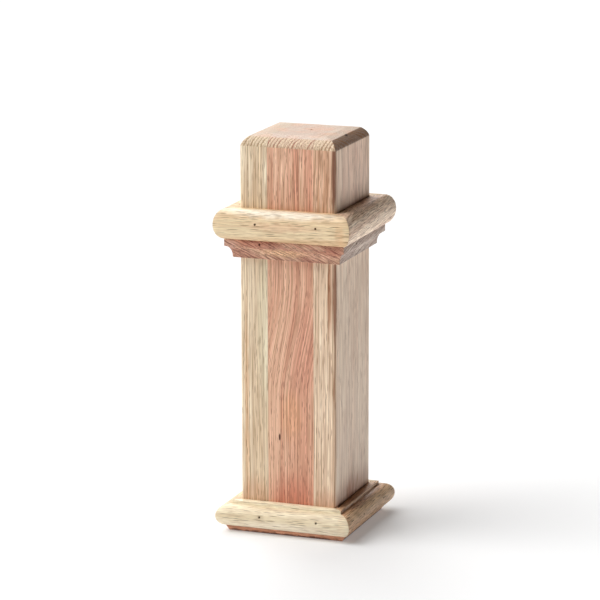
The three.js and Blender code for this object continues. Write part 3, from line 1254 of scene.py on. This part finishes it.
@dataclass
class Surround:
    """Four mitred lengths of one moulding round the post."""

    node: str
    slot: str
    piece: str
    finish: WoodFinish
    brads: tuple[float, ...] = ()
    other_boards: dict[Side, WoodFinish] = field(default_factory=dict)
    steps: int = 25
    nose_steps: int = 44
    mitre_gap: float = 0.07
    brad_rise: float = 2.6
    brad_reach: Triple = (1.0, 5.0, 1.0)
    # The painted shadow in and round each brad hole: its reach, colour and strength
    brad_shadow_reach: Triple = (1.3, 8.0, 1.3)
    brad_shadow_colour: str = "#2c1a0e"
    brad_shadow_strength: float = 0.95
    face: float = field(init=False)
    bottom: float = field(init=False)
    top: float = field(init=False)
    reach: float = field(init=False)

    def __post_init__(self) -> None:
        """Takes the moulding's own size from its packed front length."""
        low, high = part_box(f"{self.node}_front")
        self.face = -high.y * METRE
        self.reach = -low.y * METRE - self.face
        self.bottom = low.z * METRE
        self.top = high.z * METRE

    @property
    def middle(self) -> float:
        """The height of the moulding's middle."""
        return (self.bottom + self.top) / 2

    def nose(self, flat: float, bottom: float, top: float) -> list[tuple[float, float]]:
        """Half an ellipse from the top of a nose down to its underside.

        Args:
            flat: How far the ledge runs out from the face before the nose begins.
            bottom: The height of the underside.
            top: The height of the ledge.

        Returns:
            Points outward and up.
        """
        rise = (top - bottom) / 2
        points = []
        for i in range(self.nose_steps + 1):
            angle = math.pi * (0.5 - i / self.nose_steps)
            out = flat + (self.reach - flat) * math.cos(angle)
            points.append((out, bottom + rise * (1 + math.sin(angle))))
        return points

    def section(self) -> list[tuple[float, float]]:
        """The moulding's section as points outward from the face and up; each kind has its own."""
        raise NotImplementedError

    def brad_place(self, along: float) -> Vector:
        """The place of a brad hole on the surface, from its place along the length."""
        return Vector((along, -(self.face + self.reach), self.middle))

    def length(self, shop: Workshop, side: Side) -> None:
        """Makes the length of moulding on one side.

        Args:
            shop: The workshop with the trees.
            side: The side that it is on.
        """
        points = [Vector((self.face + out, -up, 0.0)) * MM for out, up in self.section()]
        edges = [(i, (i + 1) % len(points)) for i in range(len(points))]
        mesh = bpy.data.meshes.new(self.piece)
        mesh.from_pydata(points, edges, [])
        obj = shop.piece(f"{self.piece}_{side.label}", mesh)
        finish = self.other_boards.get(side, self.finish)
        # Each brad hole gets a dark patch of painted shadow in and round it
        shade = (self.brad_shadow_reach, self.brad_shadow_colour, self.brad_shadow_strength, 0.0)
        holes = tuple(Zone(tuple(self.brad_place(along)), *shade) for along in self.brads)
        material = WoodMaterial(replace(finish, marks=holes), side, Cut.LENGTHWISE).build()
        shop.run(obj, shop.length, {
            "Steps": self.steps,
            "Mitre gap": self.mitre_gap * math.sqrt(0.5) * MM,
            "Material": material,
        })
        shop.ease(obj)
        if self.brads:
            first = self.brad_place(self.brads[0])
            last = self.brad_place(self.brads[-1])
            shop.run(obj, shop.pits, {
                "Count": len(self.brads), "First place": first * MM, "Spacing": (last - first) * MM,
                "Reach": Vector(self.brad_reach) * MM, "Material": material,
            })
        shop.bake(obj, side.turn)
        shop.finish(obj, f"{self.node}_{side.label}", self.slot)

    def build(self, shop: Workshop) -> None:
        """Makes the lengths on all four sides."""
        for side in Side:
            self.length(shop, side)


@dataclass
class Collar(Surround):
    """The bullnose collar, with a flat ledge."""

    ledge: float = 10.0

    def section(self) -> list[tuple[float, float]]:
        """A flat ledge and underside with a half-elliptic nose between them."""
        return [(0.0, self.bottom), (0.0, self.top), *self.nose(self.ledge, self.bottom, self.top)]

    def brad_place(self, along: float) -> Vector:
        """A place above the middle of the nose."""
        share = 2 * self.brad_rise / (self.top - self.bottom)
        out = self.ledge + (self.reach - self.ledge) * math.sqrt(1 - share ** 2)
        return Vector((along, -(self.face + out), self.middle + self.brad_rise))


@dataclass
class Cove(Surround):
    """The cove, with a fillet over its hollow and a foot below it."""

    fillet: float = 6.6
    foot: float = 0.9
    foot_reach: float = 5.2
    hollow_steps: int = 24

    def section(self) -> list[tuple[float, float]]:
        """An upright fillet, a hollow that is a quarter of an ellipse, and a small foot."""
        foot_top = self.bottom + self.foot
        depth = self.reach - self.foot_reach
        drop = self.top - self.fillet - foot_top
        points = [(0.0, self.bottom), (0.0, self.top), (self.reach, self.top)]
        for i in range(self.hollow_steps + 1):
            angle = math.pi / 2 * i / self.hollow_steps
            points.append((self.reach - depth * math.sin(angle), foot_top + drop * math.cos(angle)))
        return [*points, (self.foot_reach, self.bottom)]

    def brad_place(self, along: float) -> Vector:
        """A place in the middle of the fillet."""
        return Vector((along, -(self.face + self.reach), self.top - self.fillet / 2))


@dataclass
class Base(Surround):
    """The base bullnose, with a fillet that stands on it."""

    fillet: float = 3.0
    fillet_reach: float = 7.0
    ledge: float = 9.0

    def section(self) -> list[tuple[float, float]]:
        """A fillet, a narrow step and a half-elliptic nose."""
        round_top = self.top - self.fillet
        return [
            (0.0, self.bottom),
            (0.0, self.top),
            (self.fillet_reach, self.top),
            (self.fillet_reach, round_top),
            *self.nose(self.ledge, self.bottom, round_top),
        ]

    def brad_place(self, along: float) -> Vector:
        """A place above the middle of the nose."""
        thickness = self.top - self.fillet - self.bottom
        share = 2 * self.brad_rise / thickness
        out = self.ledge + (self.reach - self.ledge) * math.sqrt(1 - share ** 2)
        return Vector((along, -(self.face + out), self.bottom + thickness / 2 + self.brad_rise))


@dataclass
class Strip(Surround):
    """The thin strip on the floor, splayed outward as it rises."""

    splay: float = 2.4

    def section(self) -> list[tuple[float, float]]:
        """A flat bar whose outer face leans outward."""
        return [
            (0.0, self.bottom),
            (0.0, self.top),
            (self.reach, self.top),
            (self.reach - self.splay, self.bottom),
        ]


@dataclass
class Studio:
    """A pale floor, soft light from the upper left, and the camera at the photographed angle."""

    azimuth: float = 20.31
    elevation: float = 12.76
    roll: float = -0.134
    distance: float = 2795.0
    aim_right: float = -5.11
    aim_height: float = 204.4
    lens: float = 187.2
    sensor: float = 36.0
    floor_width: float = 40000.0
    floor_colour: str = "#d8d8d8"
    floor_roughness: float = 0.9
    floor_gloss: float = 0.1
    floor_glow: float = 0.2
    sky: float = 0.01
    card_size: tuple[float, float] = (420.0, 520.0)
    card_place: Triple = (330.0, 20.0, 2.0)
    card_strength: float = 0.6
    card_colour: Triple = (0.92, 0.98, 1.08)

    def camera(self) -> None:
        """Places the camera, which looks down on the post from its right."""
        turn = math.radians(self.azimuth)
        roll = math.radians(self.roll)
        ahead = -direction(self.azimuth, self.elevation)
        level = Vector((math.cos(turn), math.sin(turn), 0.0))
        upright = level.cross(ahead)
        right = math.cos(roll) * level + math.sin(roll) * upright
        up = math.cos(roll) * upright - math.sin(roll) * level
        place = level * self.aim_right + Vector((0.0, 0.0, self.aim_height)) - ahead * self.distance
        data = bpy.data.cameras.new("studio_camera")
        data.lens = self.lens
        data.sensor_width = self.sensor
        data.clip_end = 2 * self.floor_width * MM
        data.dof.use_dof = False
        obj = bpy.data.objects.new("studio_camera", data)
        bpy.context.scene.collection.objects.link(obj)
        axes = Matrix((right, up, -ahead)).transposed()
        obj.matrix_world = Matrix.Translation(place * MM) @ axes.to_4x4()
        bpy.context.scene.camera = obj

    def light(
        self, name: str, azimuth: float, elevation: float, spread: float, strength: float
    ) -> None:
        """Hangs a far, broad light that faces the post.

        Args:
            name: The light's name.
            azimuth: Degrees round from the front face, positive to the right.
            elevation: Degrees above the floor.
            spread: The angle in degrees that the light fills.
            strength: What a white surface square to the light would send back.
        """
        away = direction(azimuth, elevation)
        data = bpy.data.lights.new(name, "SUN")
        data.angle = math.radians(spread)
        data.energy = strength * math.pi
        obj = bpy.data.objects.new(name, data)
        bpy.context.scene.collection.objects.link(obj)
        obj.rotation_euler = away.to_track_quat("Z", "Y").to_euler()

    def reflector(self) -> None:
        """Lays an unseen pale card on the floor, which lights the right face from below."""
        data = bpy.data.lights.new("floor_card", "AREA")
        data.shape = "RECTANGLE"
        data.size, data.size_y = (side * MM for side in self.card_size)
        data.energy = self.card_strength * math.pi * data.size * data.size_y
        data.color = self.card_colour
        obj = bpy.data.objects.new("floor_card", data)
        bpy.context.scene.collection.objects.link(obj)
        obj.location = Vector(self.card_place) * MM
        obj.rotation_euler = (math.pi, 0.0, 0.0)
        obj.visible_camera = False

    def floor(self) -> None:
        """Lays a wide pale floor that glows a little, as an overexposed sweep does."""
        half = self.floor_width / 2 * MM
        mesh = bpy.data.meshes.new("studio_floor")
        corners = [(-half, -half, 0.0), (half, -half, 0.0), (half, half, 0.0), (-half, half, 0.0)]
        mesh.from_pydata(corners, [], [(0, 1, 2, 3)])
        # Matt painted board: a white without gloss, on which shadows fade softly
        material = bpy.data.materials.new("matt_white_sweep")
        material.use_nodes = True
        tree = material.node_tree
        tree.nodes.clear()
        shader = add_node(tree, "ShaderNodeBsdfPrincipled", {
            "Base Color": linear_colour(self.floor_colour), "Roughness": self.floor_roughness,
            "Specular IOR Level": self.floor_gloss, "Emission Color": WHITE,
            "Emission Strength": self.floor_glow,
        })
        add_node(tree, "ShaderNodeOutputMaterial", {"Surface": shader.outputs[0]})
        mesh.materials.append(material)
        obj = bpy.data.objects.new("studio_floor", mesh)
        bpy.context.scene.collection.objects.link(obj)

    def world(self) -> None:
        """Makes the surroundings dim for the post and plain white for the eye."""
        world = bpy.data.worlds.new("studio")
        world.use_nodes = True
        tree = world.node_tree
        tree.nodes.clear()
        seen = add_node(tree, "ShaderNodeLightPath").outputs["Is Camera Ray"]
        dim = add_node(tree, "ShaderNodeBackground", {"Color": WHITE, "Strength": self.sky})
        white = add_node(tree, "ShaderNodeBackground", {"Color": WHITE, "Strength": 1.0})
        both = add_node(tree, "ShaderNodeMixShader", [seen, dim.outputs[0], white.outputs[0]])
        add_node(tree, "ShaderNodeOutputWorld", {"Surface": both.outputs[0]})
        bpy.context.scene.world = world

    def build(self) -> None:
        """Sets up the camera, floor, lights and surroundings."""
        self.camera()
        self.floor()
        self.reflector()
        self.world()
        self.light("low_softbox", azimuth=-64.0, elevation=35.0, spread=50.0, strength=0.6)
        self.light("high_softbox", azimuth=-77.0, elevation=60.0, spread=56.0, strength=0.66)
        self.light("back_softbox", azimuth=-148.0, elevation=38.0, spread=44.0, strength=0.6)
        bpy.context.scene.view_settings.view_transform = "Standard"
        bpy.context.scene.view_settings.look = "None"
        log.info("studio: camera %.1f mm from the post", self.distance)


def main() -> None:
    logging.basicConfig(level=logging.INFO, format="%(name)s: %(message)s")
    Studio().build()
    shop = Workshop()
    Block().build(shop)
    collar_boards = {Side.RIGHT: ROSY_COLLAR, Side.BACK: TAN_COLLAR, Side.LEFT: TAN_COLLAR}
    base_boards = {Side.RIGHT: BROWN_BASE, Side.BACK: TAN_BASE, Side.LEFT: TAN_BASE}
    cove_boards = {Side.RIGHT: GREY_COVE}
    pale, red = "pale_moulding", "red_moulding"
    surrounds = (
        Collar("collar", pale, "bullnose_collar", CREAM_COLLAR, (-24.0, 32.4), collar_boards),
        Cove("cove", red, "cove_moulding", RED_COVE, (-22.7,), cove_boards),
        Base("base", pale, "bullnose_base", CREAM_BASE, (-21.4, 32.4), base_boards),
        Strip("strip", red, "floor_strip", RED_STRIP),
    )
    for surround in surrounds:
        surround.build(shop)


if __name__ == "__main__":
    main()
